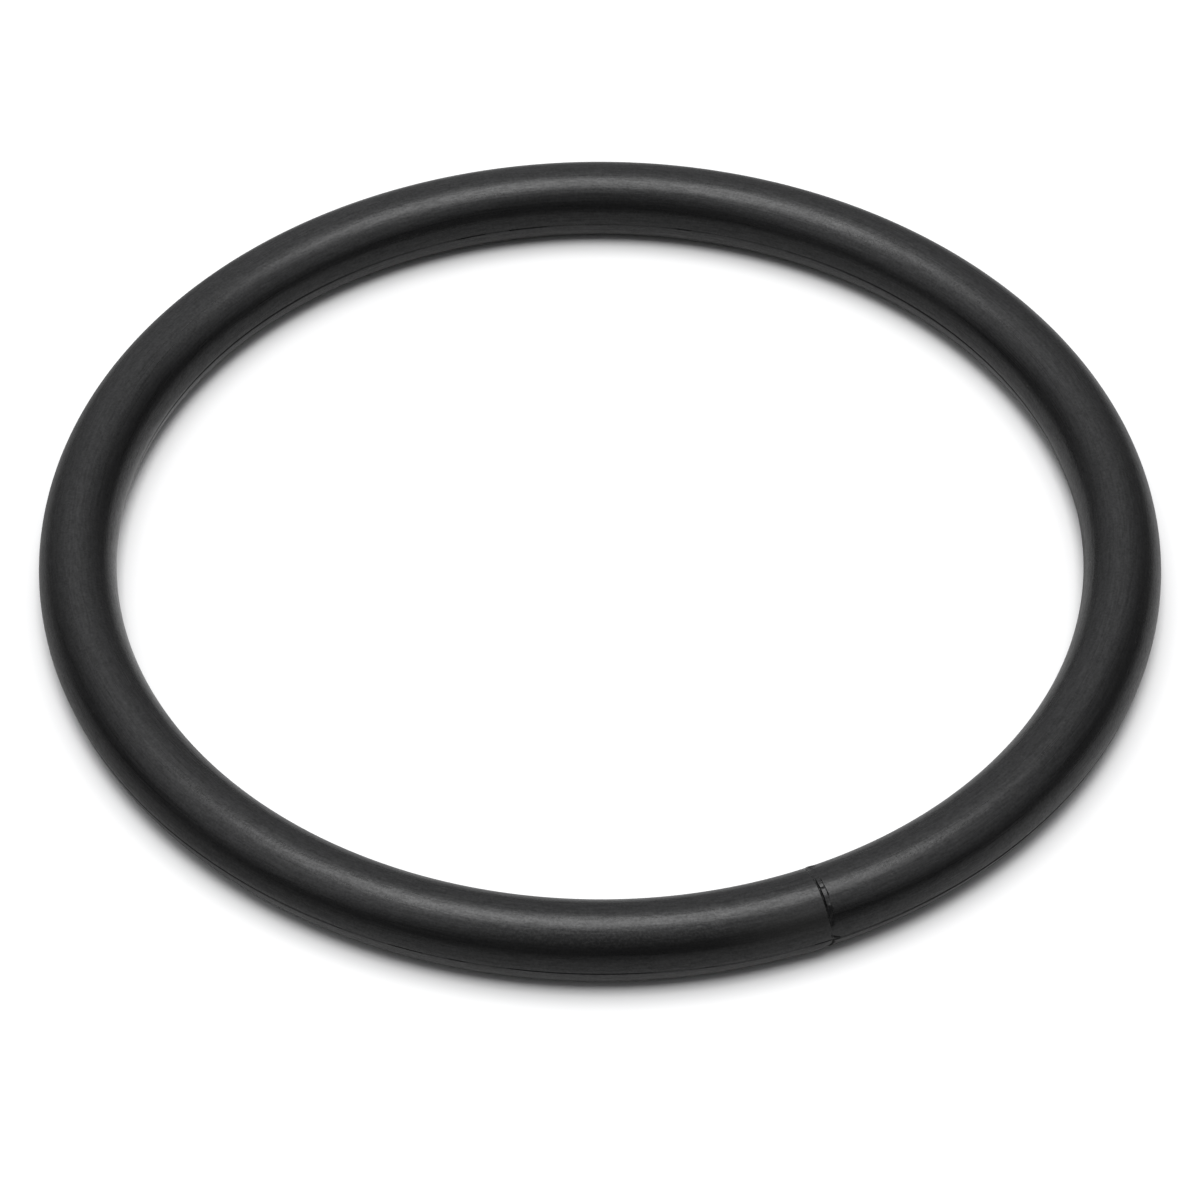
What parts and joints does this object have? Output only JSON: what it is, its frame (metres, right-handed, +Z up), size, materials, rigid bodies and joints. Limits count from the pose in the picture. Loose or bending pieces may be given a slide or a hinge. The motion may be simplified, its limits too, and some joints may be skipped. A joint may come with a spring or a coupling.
{
  "type": "rubber o-ring",
  "caption": "Plain round rubber o-ring with a fine moulded parting line and a visible splice; seals between a shaft or plug and the bore it sits in.",
  "frame": {"origin": "middle of the hole, level with the middle of the round section", "axes": "+Z up along the ring's axis, +X to the right and -Y towards the viewer; the splice is 22.8 degrees from -Y towards +X"},
  "size_m": [0.087, 0.087, 0.006],
  "materials": {
    "rubber": "black moulded rubber, satin, with fine grain and a little pale dust"
  },
  "bodies": {
    "root": {"o_ring": "rubber"}
  },
  "joints": []
}
